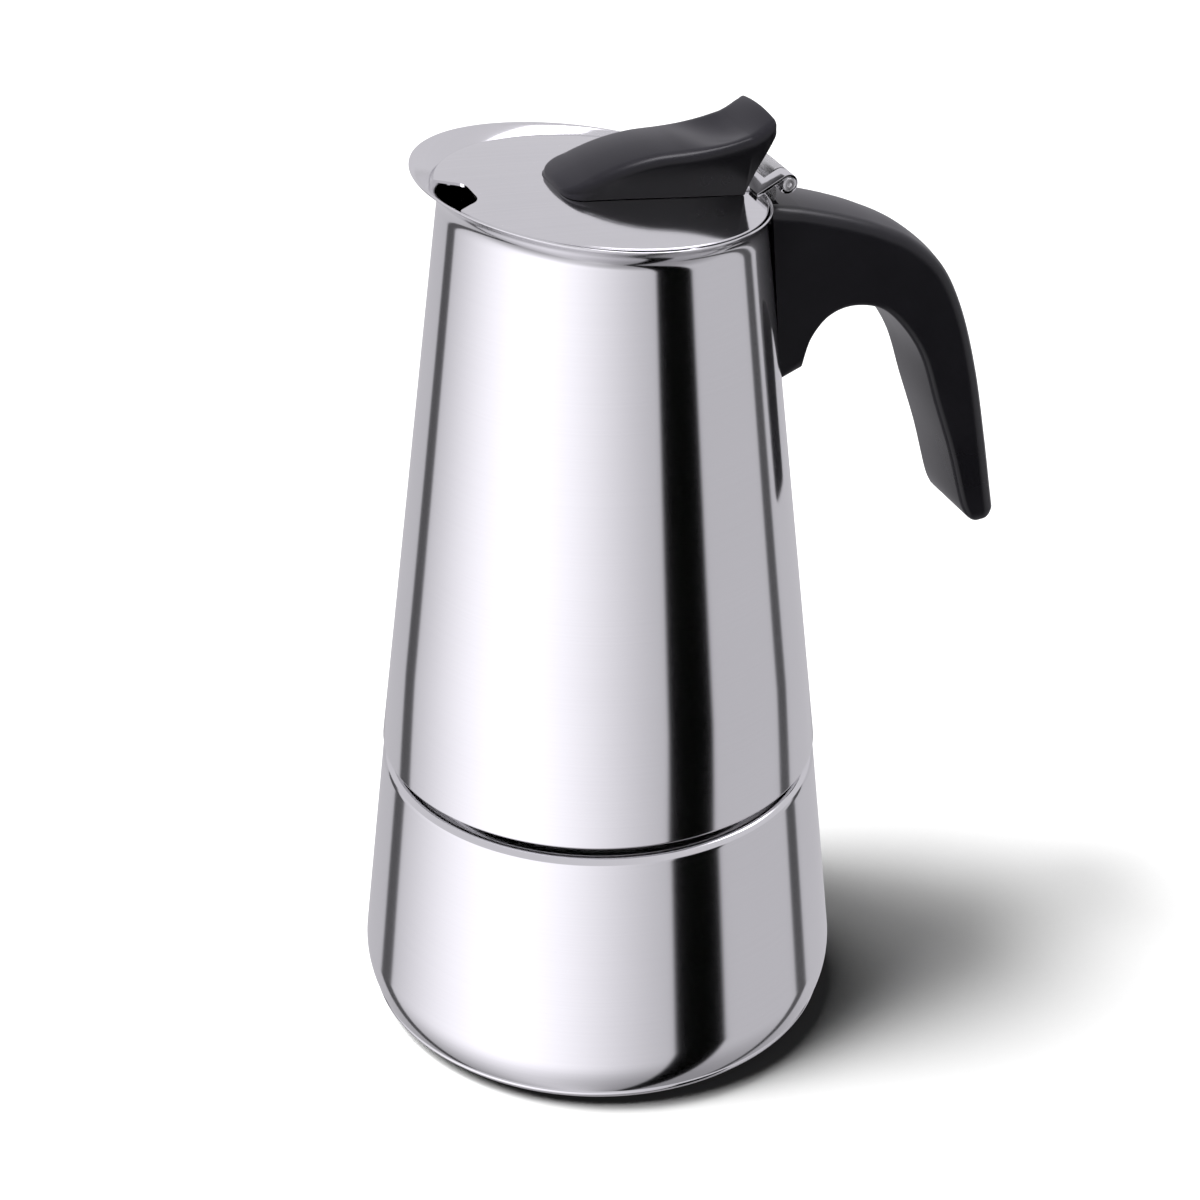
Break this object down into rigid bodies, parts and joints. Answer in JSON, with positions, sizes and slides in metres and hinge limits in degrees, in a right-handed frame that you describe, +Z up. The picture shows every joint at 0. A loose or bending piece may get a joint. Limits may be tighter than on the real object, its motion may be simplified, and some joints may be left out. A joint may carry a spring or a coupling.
{
  "type": "stovetop moka pot",
  "caption": "Tapered steel stovetop moka pot: boiler with valve, funnel and seal, screw-on jug with hook handle, and a hinged lid with a black knob.",
  "frame": {"origin": "middle of the base, on the table", "axes": "+Z up; +X towards the handle, -X towards the spout; the lid's hinge pin lies along Y and the safety valve faces +Y"},
  "size_m": [0.136, 0.1042, 0.1938],
  "materials": {
    "polished_steel": "polished, with very fine brushing round the pot",
    "satin_steel": "satin",
    "bracket_steel": "polished",
    "inner_steel": "satin",
    "fastener_steel": "bright",
    "core_aluminium": "dull",
    "valve_brass": "turned",
    "spring_steel": "drawn wire",
    "washer_rubber": "matt silicone",
    "seal_rubber": "matt silicone",
    "black_plastic": "satin moulded phenolic"
  },
  "bodies": {
    "boiler": {"boiler_shell": "polished_steel", "heat_spreader": "core_aluminium", "base_cap": "bracket_steel", "valve_bush": "inner_steel", "valve_washer": "washer_rubber", "valve_body": "valve_brass", "valve_cap": "valve_brass", "valve_spring": "spring_steel"},
    "valve_pin": {"valve_pin": "valve_brass"},
    "funnel": {"funnel_basket": "inner_steel", "funnel_strainer": "inner_steel", "funnel_stem": "inner_steel"},
    "seal": {"seal_ring": "seal_rubber", "filter_plate": "inner_steel"},
    "jug": {"jug_body": "polished_steel", "jug_floor": "inner_steel", "thread_collar": "inner_steel", "riser_tube": "inner_steel", "riser_cap": "inner_steel", "hinge_bracket": "bracket_steel", "hinge_pin": "fastener_steel", "handle": "black_plastic", "handle_screw": "fastener_steel"},
    "lid": {"lid_plate": "satin_steel", "lid_leaf": "satin_steel", "knob": "black_plastic", "knob_screws": "fastener_steel"}
  },
  "joints": [
    {"name": "valve_slide", "type": "slide", "parent": "boiler", "child": "valve_pin", "axis": [0, 1, 0], "range_m": [0, 0.0015], "stiffness_N_per_m": 400, "springref_m": -0.003, "deforming": ["valve_spring"]},
    {"name": "funnel_lift", "type": "slide", "parent": "boiler", "child": "funnel", "axis": [0, 0, 1], "range_m": [0, 0.07]},
    {"name": "jug_rise", "type": "slide", "parent": "funnel", "child": "seal", "axis": [0, 0, 1], "range_m": [0, 0.0076]},
    {"name": "jug_turn", "type": "hinge", "parent": "seal", "child": "jug", "pos_m": [0, 0, 0], "axis": [0, 0, 1], "range_deg": [0, 720]},
    {"name": "lid_hinge", "type": "hinge", "parent": "jug", "child": "lid", "pos_m": [0.0348, 0, 0.1806], "axis": [0, 1, 0], "range_deg": [0, 115]}
  ],
  "couplings": [
    {"joint": "jug_rise", "follows": "jug_turn", "m_per_rad": 0.0006047}
  ]
}
